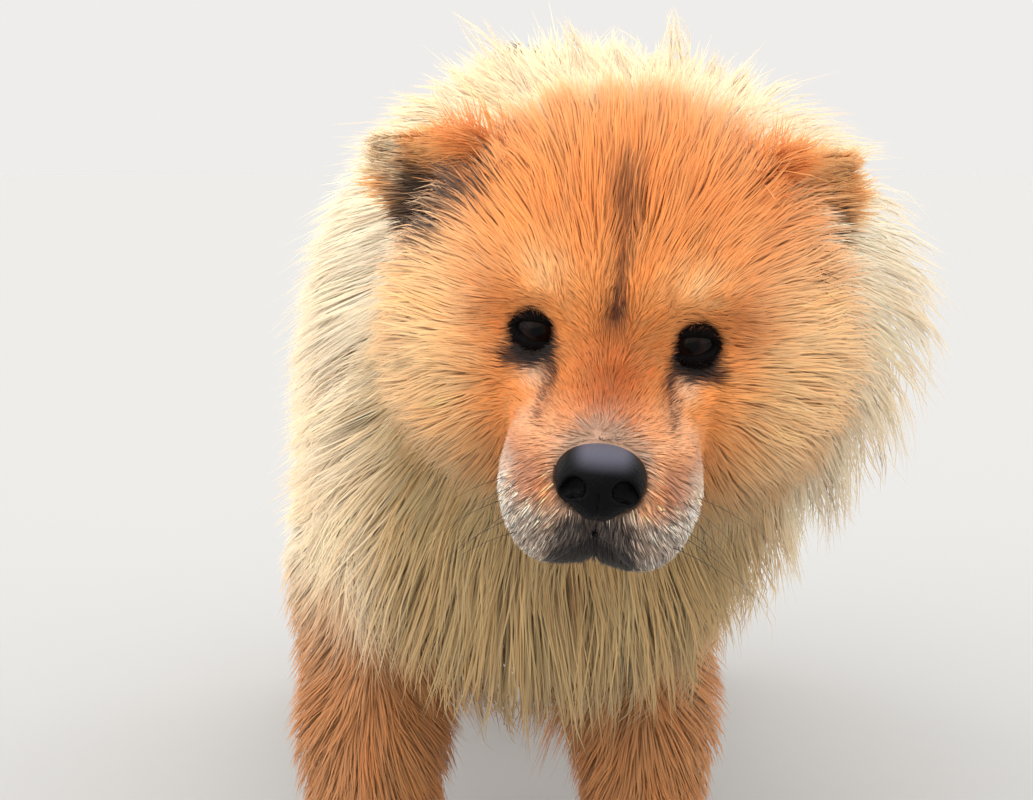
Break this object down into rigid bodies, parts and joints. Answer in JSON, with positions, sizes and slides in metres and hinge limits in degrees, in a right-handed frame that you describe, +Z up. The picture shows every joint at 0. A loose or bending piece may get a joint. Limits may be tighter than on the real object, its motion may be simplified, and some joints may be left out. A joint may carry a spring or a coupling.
{
  "type": "chow chow",
  "caption": "Standing chow chow dog with a broad furry head held low, a thick ruff, small ears out to the sides and a tail curled over its back.",
  "frame": {"origin": "middle of the bottom of the animal's bounding box, on the floor that it stands on", "axes": "+Z up; the animal faces -Y with its tail towards +Y; +X is its own left side"},
  "size_m": [0.4292, 0.837, 0.5722],
  "materials": {
    "coat_orange": "matte long fur, deep orange",
    "coat_cream": "matte long fur, cream to apricot",
    "coat_rust": "matte short fur, rust brown",
    "eye_dark": "wet, very dark brown eye",
    "nose_leather": "black, slightly moist skin"
  },
  "bodies": {
    "root": {"head": "coat_orange", "neck": "coat_cream", "torso": "coat_cream", "tail": "coat_cream", "foreleg_left": "coat_rust", "foreleg_right": "coat_rust", "hindleg_left": "coat_cream", "hindleg_right": "coat_cream", "forepaw_left": "coat_rust", "forepaw_right": "coat_rust", "hindpaw_left": "coat_cream", "hindpaw_right": "coat_cream", "ear_left": "coat_orange", "ear_right": "coat_orange", "eye_left": "eye_dark", "eye_right": "eye_dark", "nose": "nose_leather"}
  },
  "joints": []
}
